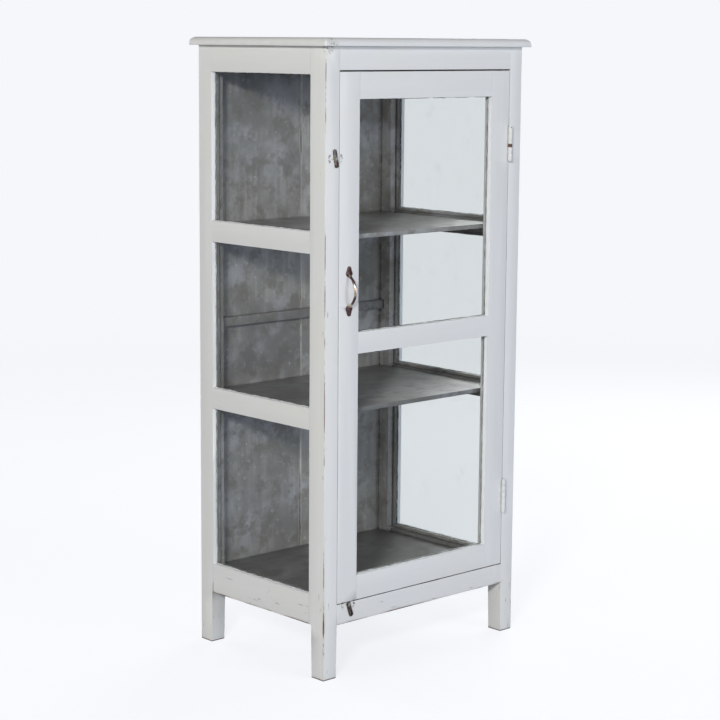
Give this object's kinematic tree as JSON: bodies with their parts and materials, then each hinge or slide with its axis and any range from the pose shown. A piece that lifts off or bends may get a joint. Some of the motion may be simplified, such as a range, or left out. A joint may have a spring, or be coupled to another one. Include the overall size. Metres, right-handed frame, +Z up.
{
  "type": "apothecary cabinet",
  "caption": "Tall white-painted wooden cabinet with glazed sides, a glazed framed door on butt hinges, grey-painted shelves inside, a boarded back, turn buttons and a bow handle.",
  "frame": {"origin": "bottom centre of the whole box, on the floor", "axes": "+Z up, -Y out of the door's front, +X to the right as seen from the front"},
  "size_m": [0.636, 0.4704, 1.398],
  "materials": {
    "white_paint": "brushed white paint over wood, worn at edges",
    "grey_paint": "brushed matt grey paint over wood",
    "glass": "clear old window glass",
    "aged_bronze": "darkened bronze with worn paint",
    "painted_hinge": "steel hinge painted over with white paint",
    "steel": "dull steel screws and nails",
    "bare_wood": "unpainted beech dowels"
  },
  "bodies": {
    "cabinet": {"front_left_post": "white_paint", "front_right_post": "white_paint", "rear_left_post": "white_paint", "rear_right_post": "white_paint", "front_top_rail": "white_paint", "front_bottom_rail": "white_paint", "rear_top_rail": "grey_paint", "rear_bottom_rail": "grey_paint", "left_top_rail": "white_paint", "left_upper_rail": "white_paint", "left_lower_rail": "white_paint", "left_bottom_rail": "white_paint", "right_top_rail": "white_paint", "right_upper_rail": "white_paint", "right_lower_rail": "white_paint", "right_bottom_rail": "white_paint", "top_board": "white_paint", "top_dowels": "bare_wood", "door_stop": "grey_paint", "back_board_1": "grey_paint", "back_board_2": "grey_paint", "back_board_3": "grey_paint", "back_board_4": "grey_paint", "back_batten": "grey_paint", "back_nails": "steel", "upper_shelf": "grey_paint", "lower_shelf": "grey_paint", "floor_board": "grey_paint", "shelf_cleats": "grey_paint", "floor_cleats": "grey_paint", "left_upper_pane": "glass", "left_middle_pane": "glass", "left_lower_pane": "glass", "right_upper_pane": "glass", "right_middle_pane": "glass", "right_lower_pane": "glass", "left_glazing_beads": "grey_paint", "right_glazing_beads": "grey_paint", "upper_hinge_frame_leaf": "painted_hinge", "upper_hinge_pin": "painted_hinge", "lower_hinge_frame_leaf": "painted_hinge", "lower_hinge_pin": "painted_hinge", "hinge_frame_screws": "steel", "button_screws": "steel"},
    "door": {"door_lock_stile": "white_paint", "door_hinge_stile": "white_paint", "door_top_rail": "white_paint", "door_middle_rail": "white_paint", "door_bottom_rail": "white_paint", "door_upper_pane": "glass", "door_lower_pane": "glass", "door_glazing_beads": "grey_paint", "door_pull": "aged_bronze", "pull_screws": "steel", "upper_hinge_door_leaf": "painted_hinge", "lower_hinge_door_leaf": "painted_hinge", "hinge_door_screws": "steel"},
    "upper_turn_button": {"upper_turn_button": "aged_bronze"},
    "lower_turn_button": {"lower_turn_button": "aged_bronze"}
  },
  "joints": [
    {"name": "door_hinge", "type": "hinge", "parent": "cabinet", "child": "door", "pos_m": [0.26225, -0.21577, 0.747], "axis": [0, 0, 1], "range_deg": [0, 170]},
    {"name": "upper_button_turn", "type": "hinge", "parent": "cabinet", "child": "upper_turn_button", "pos_m": [-0.274, -0.21277, 1.145], "axis": [0, 1, 0], "continuous": true},
    {"name": "lower_button_turn", "type": "hinge", "parent": "cabinet", "child": "lower_turn_button", "pos_m": [-0.229, -0.21277, 0.1614], "axis": [0, 1, 0], "continuous": true}
  ]
}
